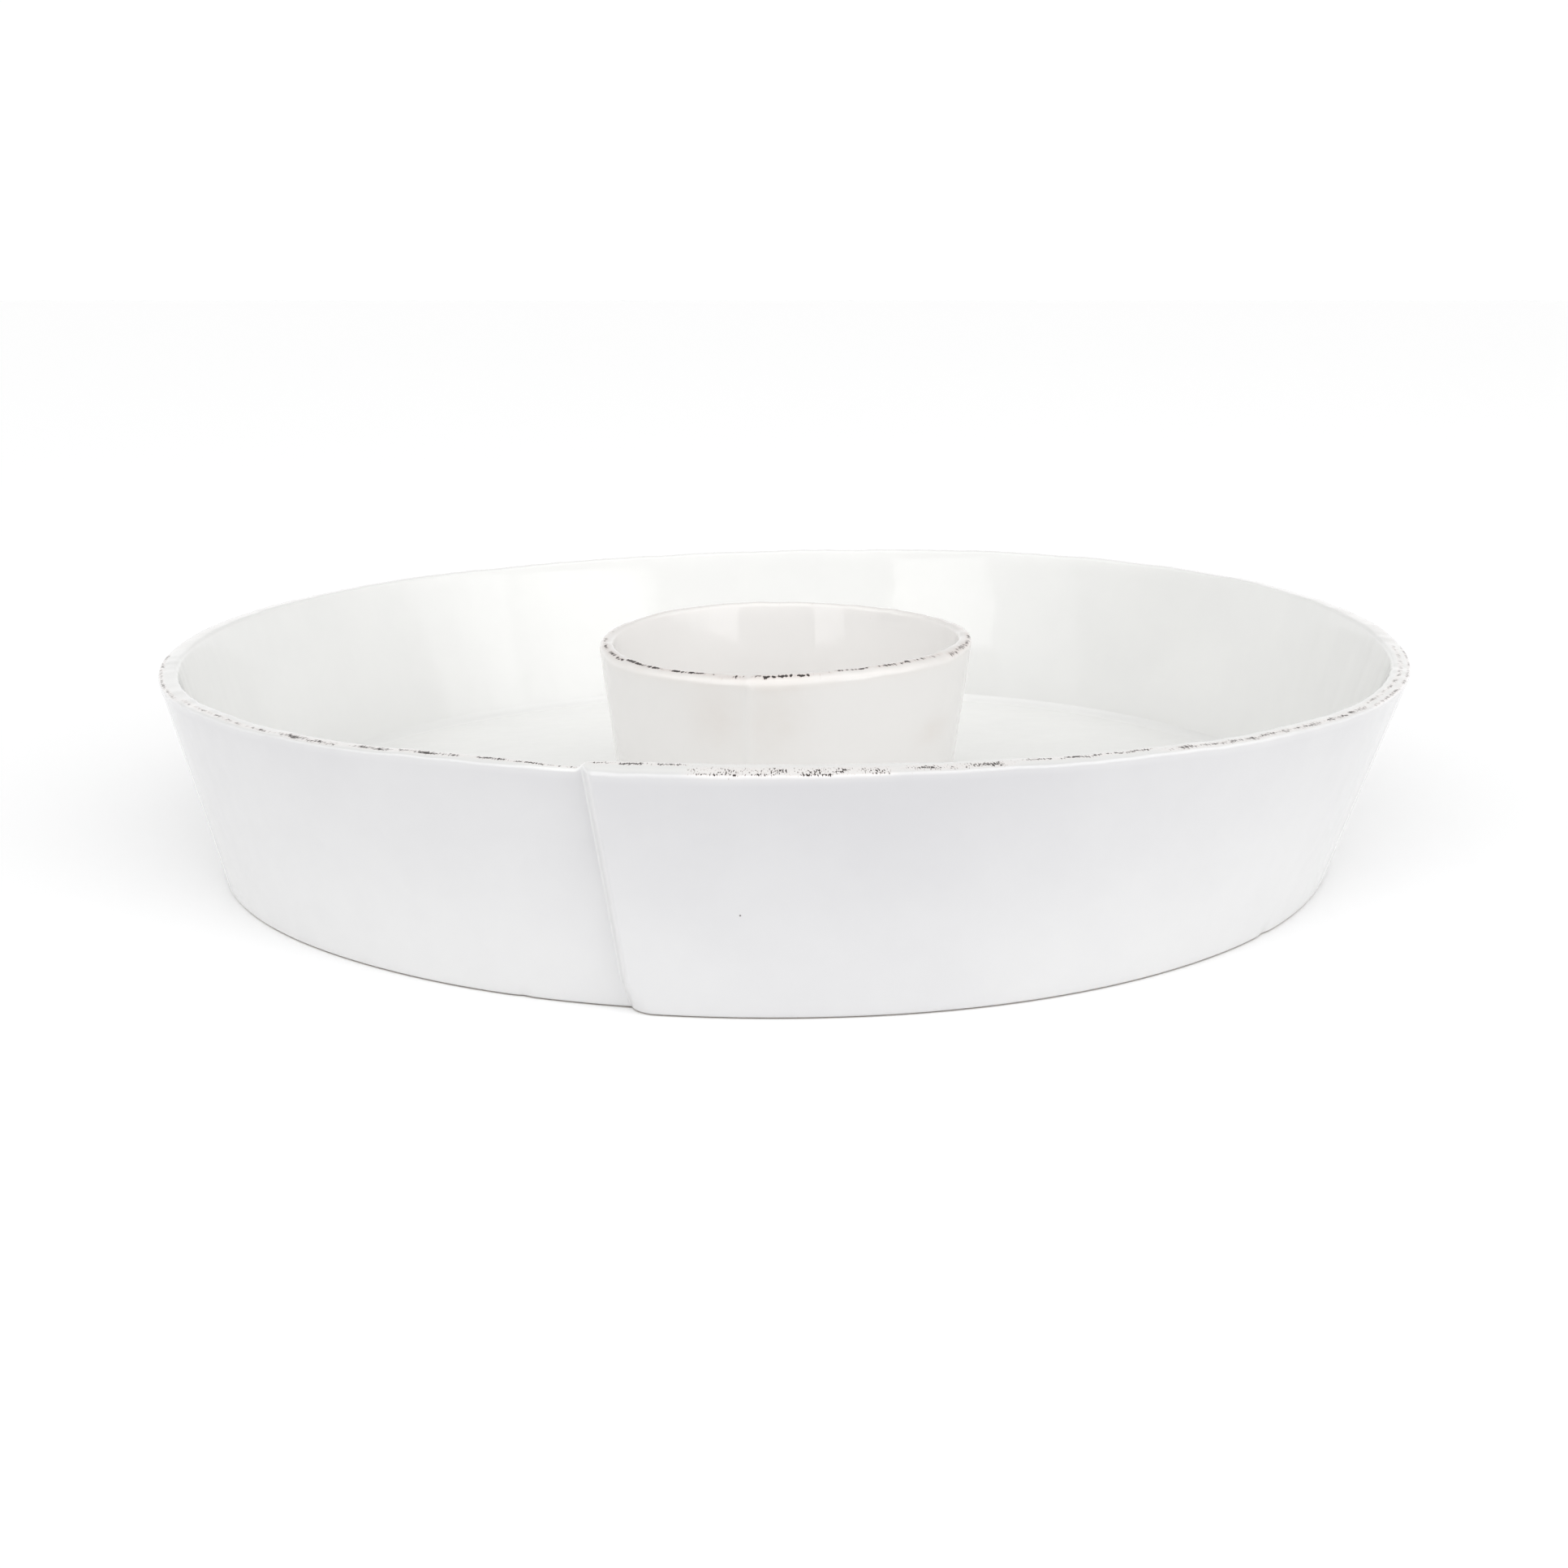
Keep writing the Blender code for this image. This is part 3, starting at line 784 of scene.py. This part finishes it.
def make_floor_material():
    """Plain white from above, and clear from below, where it would hide the server."""
    shading = Shading("studio_floor")
    shading.shader.inputs["Base Color"].default_value = (1.0, 1.0, 1.0, 1.0)
    shading.shader.inputs["Roughness"].default_value = 1.0
    below = shading.add("NewGeometry", {}).outputs["Backfacing"]
    shading.put(shading.shader.inputs["Alpha"], shading.math("SUBTRACT", 1.0, below))
    return shading.material


def make_camera():
    camera = bpy.data.cameras.new("camera")
    camera.lens = CAMERA_LENS
    holder = bpy.data.objects.new("camera", camera)
    holder.location = CAMERA_PLACE
    holder.rotation_euler = (math.radians(90.0 - CAMERA_DOWN_DEG), 0.0, 0.0)
    bpy.context.scene.collection.objects.link(holder)
    bpy.context.scene.camera = holder


def make_world():
    """Soft studio surroundings: bright low behind the server, and brightest high in front of it.

    Seen directly they are plain white on every side.
    """
    world = bpy.data.worlds.new("studio")
    world.use_nodes = True
    tree = world.node_tree
    background = tree.nodes["Background"]
    split = tree.nodes.new("ShaderNodeSeparateXYZ")
    tree.links.new(tree.nodes.new("ShaderNodeTexCoord").outputs["Generated"], split.inputs[0])

    def ramp(value, low, high, start, end):
        node = tree.nodes.new("ShaderNodeMapRange")
        node.interpolation_type = "SMOOTHSTEP"
        for socket, number in zip(node.inputs, (value, low, high, start, end)):
            if isinstance(number, bpy.types.NodeSocket):
                tree.links.new(number, socket)
            else:
                socket.default_value = number
        return node.outputs["Result"]

    sides = split.outputs["Y"], WORLD_FRONT_Y, WORLD_BACK_Y
    low_band = ramp(*sides, WORLD_LOW_FRONT, WORLD_LOW_BACK)
    high_band = ramp(*sides, WORLD_HIGH_FRONT, WORLD_HIGH_BACK)
    strength = ramp(split.outputs["Z"], WORLD_LOW_Z, WORLD_HIGH_Z, low_band, high_band)
    seen = tree.nodes.new("ShaderNodeLightPath").outputs["Is Camera Ray"]
    backdrop = tree.nodes.new("ShaderNodeMix")
    tree.links.new(seen, backdrop.inputs[0])
    tree.links.new(strength, backdrop.inputs[2])
    backdrop.inputs[3].default_value = BACKDROP_BRIGHTNESS
    tree.links.new(backdrop.outputs[0], background.inputs["Strength"])
    background.inputs["Color"].default_value = (1.0, 1.0, 1.0, 1.0)
    bpy.context.scene.world = world
    bpy.context.scene.view_settings.view_transform = "Standard"


def make_studio_floor():
    place = (0.0, 0.0, -STUDIO_FLOOR_DROP)
    bpy.ops.mesh.primitive_plane_add(size=STUDIO_FLOOR_SIZE, location=place)
    plane = bpy.context.object
    plane.name = "studio_floor"
    plane.data.materials.append(make_floor_material())


def add_softbox(name, azimuth, elevation, distance, width, height, radiance):
    """A rectangle of light that faces the origin."""
    light = bpy.data.lights.new(name, "AREA")
    light.shape = "RECTANGLE"
    light.size, light.size_y = width, height
    light.energy = radiance * math.pi * width * height
    holder = bpy.data.objects.new(name, light)
    turn, rise = math.radians(azimuth), math.radians(elevation)
    across = math.cos(rise)
    place = Vector((math.sin(turn) * across, -math.cos(turn) * across, math.sin(rise))) * distance
    holder.location = place
    holder.rotation_euler = place.to_track_quat("Z", "Y").to_euler()
    bpy.context.scene.collection.objects.link(holder)


def add_faded_softbox(name, azimuth, elevation, distance, width, height, radiance, shifts):
    """A softbox made of layers whose far side is shifted by each amount, so that it fades out."""
    for shift in shifts:
        turn = math.degrees(0.5 * shift / distance)
        share = radiance / len(shifts)
        add_softbox(name, azimuth + turn, elevation, distance, width + shift, height, share)


def pinhole_place(wall):
    """The pinhole in the glaze of the wall's outer face."""
    turn = math.radians(PINHOLE_ANGLE)
    along = PINHOLE_ANGLE - wall.seam_angle(PINHOLE_UP)
    radius = wall.round_radius(PINHOLE_ANGLE, PINHOLE_UP) + wall.outer_offset(along)
    return (radius * math.sin(turn), -radius * math.cos(turn), wall.height * PINHOLE_UP)


tray = tray_wall_shape()
bowl = bowl_wall_shape()
tray_glaze = make_glaze(
    "tray_glaze", TRAY_THIN_GLAZE_PAINTED_SHADE, TRAY_DEEP_GLAZE_PAINTED_LIGHT, TRAY_WORN_GLAZE_AND_PAINTED_LIGHT, TRAY_FLECK_SIZE,
    pinhole_place(tray),
)
bowl_glaze = make_glaze(
    "dip_bowl_glaze", BOWL_THIN_GLAZE_PAINTED_LIGHT, BOWL_DEEP_GLAZE_PAINTED_LIGHT, BOWL_WORN_GLAZE, BOWL_FLECK_SIZE
)

tray_wall = make_wall("tray_wall_glazed", tray, TRAY_COLUMN_DEG)
tray_floor = make_floor(
    "tray_floor_glazed", tray, TRAY_FLOOR_TOP, TRAY_FLOOR_CURL, TRAY_FLOOR_COLUMNS
)
bowl_wall = make_wall("dip_bowl_wall_glazed", bowl, BOWL_COLUMN_DEG)
bowl_floor = make_floor(
    "dip_bowl_floor_glazed", bowl, BOWL_FLOOR_TOP, BOWL_FLOOR_CURL, BOWL_FLOOR_COLUMNS
)

pieces = (
    (tray_wall, "tray", "tray_wall", tray_glaze),
    (tray_floor, "tray", "tray_base", tray_glaze),
    (bowl_wall, "dip_bowl", "dip_bowl_wall", bowl_glaze),
    (bowl_floor, "dip_bowl", "dip_bowl_base", bowl_glaze),
)
for piece, body, node, glaze in pieces:
    piece.data.materials.append(glaze)
    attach(piece, body)
    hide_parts(node)

make_camera()
make_world()
make_studio_floor()
add_softbox(*SOFTBOX_LEFT)
add_faded_softbox(*SOFTBOX_RIGHT, RIGHT_FADE)
add_softbox(*SOFTBOX_LEFT_WING)
add_softbox(*SOFTBOX_RIGHT_WING)
